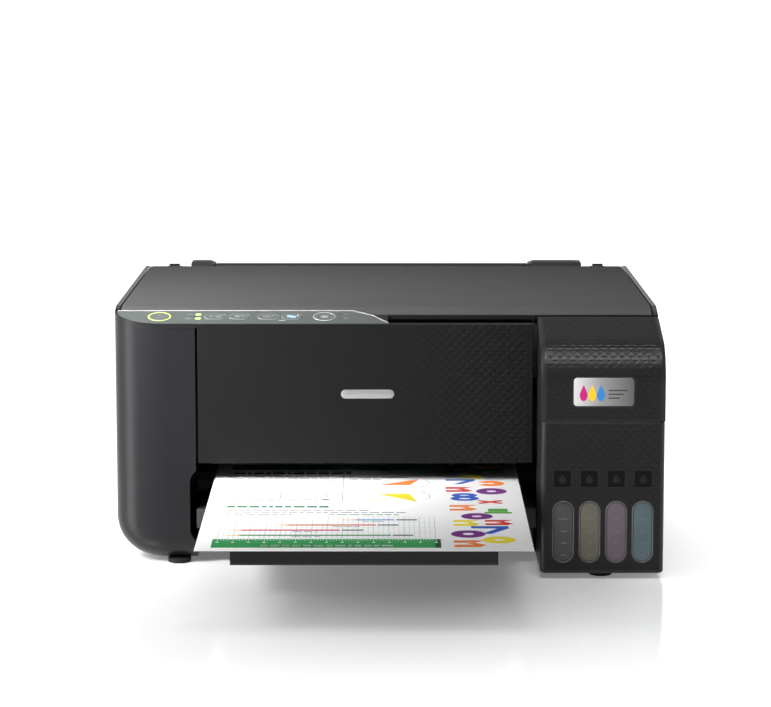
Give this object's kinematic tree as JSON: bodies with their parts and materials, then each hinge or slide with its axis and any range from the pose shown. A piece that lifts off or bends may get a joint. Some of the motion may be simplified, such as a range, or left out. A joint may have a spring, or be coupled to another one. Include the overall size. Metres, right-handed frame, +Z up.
{
  "type": "inkjet printer",
  "caption": "Compact all-in-one inkjet printer with a flatbed scanner hood, sloping key panel, front refillable ink tanks with windows, and an extended output tray holding a sheet.",
  "frame": {"origin": "on the table under the middle of the footprint, with the output tray and the sheet out", "axes": "+X to the viewer's right, +Y to the back, +Z up"},
  "size_m": [0.375, 0.51, 0.179],
  "materials": {
    "black_shell": "fine satin grain",
    "frame_plastic": "moulded, matte",
    "lid_plastic": "fine satin texture",
    "tray_plastic": "satin",
    "panel_grey": "satin, slightly green grey",
    "button_grey": "satin",
    "light_lens": "translucent green",
    "window_clear": "clear smoked plastic",
    "tank_plastic": "translucent, ink behind",
    "glass": "clear float glass",
    "foam": "white foam with a film face",
    "silver_trim": "satin silver",
    "sheet_metal": "galvanised",
    "rail_steel": "ground and polished",
    "rubber": "matte",
    "gear_plastic": "natural acetal",
    "board": "green solder mask",
    "socket_plastic": "moulded",
    "cap_black": "moulded",
    "cap_yellow": "moulded",
    "cap_magenta": "moulded",
    "cap_cyan": "moulded",
    "paper": "smooth printed paper"
  },
  "bodies": {
    "base": {"base_frame": "frame_plastic", "left_housing": "black_shell", "right_housing": "black_shell", "rear_cover": "black_shell", "tank_housing": "black_shell", "window_lenses": "window_clear", "ink_tanks": "tank_plastic", "tray_base": "tray_plastic", "platen": "frame_plastic", "main_chassis": "sheet_metal", "carriage_rail": "rail_steel", "timing_belt": "rubber", "drive_motors": "sheet_metal", "main_board": "board", "power_supply": "sheet_metal", "ac_inlet": "socket_plastic", "usb_port": "sheet_metal", "cap_station": "frame_plastic", "feeder_frame": "frame_plastic", "ink_tubes": "rubber", "rubber_feet": "rubber", "screws": "sheet_metal"},
    "scanner_hood": {"scanner_bed": "frame_plastic", "scanner_frame": "black_shell", "scan_glass": "glass", "front_panel": "black_shell", "control_panel": "panel_grey", "indicator_lights": "light_lens", "emblem_plate": "silver_trim"},
    "scan_carriage": {"scan_bar": "frame_plastic"},
    "power_key": {"power_button": "button_grey"},
    "network_key": {"network_button": "button_grey"},
    "status_key": {"status_button": "button_grey"},
    "black_copy_key": {"black_copy_button": "button_grey"},
    "color_copy_key": {"color_copy_button": "button_grey"},
    "stop_key": {"stop_button": "button_grey"},
    "hinge_blocks": {"lid_hinges": "frame_plastic"},
    "lid": {"document_cover": "lid_plastic", "foam_mat": "foam"},
    "ink_cover": {"tank_cover": "black_shell", "tank_badge": "silver_trim"},
    "filler_cap_1": {"cap_1": "cap_black"},
    "filler_cap_2": {"cap_2": "cap_yellow"},
    "filler_cap_3": {"cap_3": "cap_magenta"},
    "filler_cap_4": {"cap_4": "cap_cyan"},
    "tray": {"output_tray": "tray_plastic"},
    "extension": {"tray_extension": "tray_plastic"},
    "sheet": {"printed_sheet": "paper"},
    "carriage": {"print_carriage": "frame_plastic", "print_head": "socket_plastic"},
    "drive_pulley": {"motor_pulley": "gear_plastic"},
    "tension_pulley": {"idler_pulley": "gear_plastic"},
    "feed_shaft": {"feed_roller": "rubber"},
    "middle_gear": {"idler_gear": "gear_plastic"},
    "exit_shaft": {"exit_roller": "rubber"},
    "pickup_shaft": {"pickup_roller": "rubber"},
    "hopper_plate": {"hopper": "frame_plastic"},
    "support_plate": {"paper_support": "frame_plastic"},
    "guard_flap": {"feeder_guard": "frame_plastic"},
    "side_guide": {"edge_guide": "frame_plastic"}
  },
  "joints": [
    {"name": "hood_open", "type": "hinge", "parent": "base", "child": "scanner_hood", "pos_m": [0, 0.2495, 0.165], "axis": [-1, 0, 0], "range_deg": [0, 40]},
    {"name": "lid_lift", "type": "slide", "parent": "scanner_hood", "child": "hinge_blocks", "axis": [0, 0, 1], "range_m": [0, 0.012]},
    {"name": "lid_open", "type": "hinge", "parent": "hinge_blocks", "child": "lid", "pos_m": [0, 0.2518, 0.1733], "axis": [-1, 0, 0], "range_deg": [0, 85]},
    {"name": "scan_travel", "type": "slide", "parent": "scanner_hood", "child": "scan_carriage", "axis": [1, 0, 0], "range_m": [0, 0.27]},
    {"name": "power_press", "type": "slide", "parent": "scanner_hood", "child": "power_key", "axis": [0, 0.2521, -0.9677], "range_m": [0, 0.0008], "stiffness_N_per_m": 400},
    {"name": "network_press", "type": "slide", "parent": "scanner_hood", "child": "network_key", "axis": [0, 0.2521, -0.9677], "range_m": [0, 0.0008], "stiffness_N_per_m": 400},
    {"name": "status_press", "type": "slide", "parent": "scanner_hood", "child": "status_key", "axis": [0, 0.2521, -0.9677], "range_m": [0, 0.0008], "stiffness_N_per_m": 400},
    {"name": "black_copy_press", "type": "slide", "parent": "scanner_hood", "child": "black_copy_key", "axis": [0, 0.2521, -0.9677], "range_m": [0, 0.0008], "stiffness_N_per_m": 400},
    {"name": "color_copy_press", "type": "slide", "parent": "scanner_hood", "child": "color_copy_key", "axis": [0, 0.2521, -0.9677], "range_m": [0, 0.0008], "stiffness_N_per_m": 400},
    {"name": "stop_press", "type": "slide", "parent": "scanner_hood", "child": "stop_key", "axis": [0, 0.2521, -0.9677], "range_m": [0, 0.0008], "stiffness_N_per_m": 400},
    {"name": "tank_cover_open", "type": "hinge", "parent": "base", "child": "ink_cover", "pos_m": [0, -0.0344, 0.168], "axis": [-1, 0, 0], "range_deg": [0, 90]},
    {"name": "cap_1_open", "type": "hinge", "parent": "base", "child": "filler_cap_1", "pos_m": [0.1194, -0.046, 0.112], "axis": [-1, 0, 0], "range_deg": [0, 88]},
    {"name": "cap_2_open", "type": "hinge", "parent": "base", "child": "filler_cap_2", "pos_m": [0.13725, -0.046, 0.112], "axis": [-1, 0, 0], "range_deg": [0, 88]},
    {"name": "cap_3_open", "type": "hinge", "parent": "base", "child": "filler_cap_3", "pos_m": [0.1551, -0.046, 0.112], "axis": [-1, 0, 0], "range_deg": [0, 88]},
    {"name": "cap_4_open", "type": "hinge", "parent": "base", "child": "filler_cap_4", "pos_m": [0.17295, -0.046, 0.112], "axis": [-1, 0, 0], "range_deg": [0, 88]},
    {"name": "tray_slide", "type": "slide", "parent": "base", "child": "tray", "axis": [0, 0.9972, -0.075], "range_m": [0, 0.11]},
    {"name": "extension_slide", "type": "slide", "parent": "tray", "child": "extension", "axis": [0, 0.9972, -0.075], "range_m": [0, 0.0895]},
    {"name": "sheet_slide", "type": "slide", "parent": "base", "child": "sheet", "axis": [0, -0.9998, -0.0176], "range_m": [0, 0.12]},
    {"name": "carriage_travel", "type": "slide", "parent": "base", "child": "carriage", "axis": [1, 0, 0], "range_m": [-0.235, 0]},
    {"name": "drive_pulley_spin", "type": "hinge", "parent": "base", "child": "drive_pulley", "pos_m": [-0.138, 0.108, 0.1], "axis": [0, 1, 0], "continuous": true},
    {"name": "tension_pulley_spin", "type": "hinge", "parent": "base", "child": "tension_pulley", "pos_m": [0.138, 0.108, 0.1], "axis": [0, 1, 0], "continuous": true},
    {"name": "feed_spin", "type": "hinge", "parent": "base", "child": "feed_shaft", "pos_m": [0, 0.103, 0.0523], "axis": [1, 0, 0], "continuous": true},
    {"name": "middle_gear_spin", "type": "hinge", "parent": "base", "child": "middle_gear", "pos_m": [-0.157, 0.06556, 0.04208], "axis": [1, 0, 0], "continuous": true},
    {"name": "exit_spin", "type": "hinge", "parent": "base", "child": "exit_shaft", "pos_m": [0, 0.032, 0.0533], "axis": [1, 0, 0], "continuous": true},
    {"name": "pickup_spin", "type": "hinge", "parent": "base", "child": "pickup_shaft", "pos_m": [0, 0.18629, 0.08924], "axis": [1, 0, 0], "continuous": true},
    {"name": "hopper_press", "type": "hinge", "parent": "base", "child": "hopper_plate", "pos_m": [0, 0.23215, 0.14689], "axis": [-1, 0, 0], "range_deg": [0, 4]},
    {"name": "support_slide", "type": "slide", "parent": "base", "child": "support_plate", "axis": [0, 0.309, 0.9511], "range_m": [0, 0.1]},
    {"name": "guard_open", "type": "hinge", "parent": "base", "child": "guard_flap", "pos_m": [0, 0.2352, 0.1754], "axis": [1, 0, 0], "range_deg": [0, 45]},
    {"name": "guide_slide", "type": "slide", "parent": "base", "child": "side_guide", "axis": [1, 0, 0], "range_m": [0, 0.055]}
  ],
  "couplings": [
    {"joint": "drive_pulley_spin", "follows": "carriage_travel", "rad_per_m": 166.67},
    {"joint": "tension_pulley_spin", "follows": "carriage_travel", "rad_per_m": 166.67},
    {"joint": "middle_gear_spin", "follows": "feed_spin", "ratio": -1.0526},
    {"joint": "exit_spin", "follows": "feed_spin", "ratio": 1.25}
  ]
}
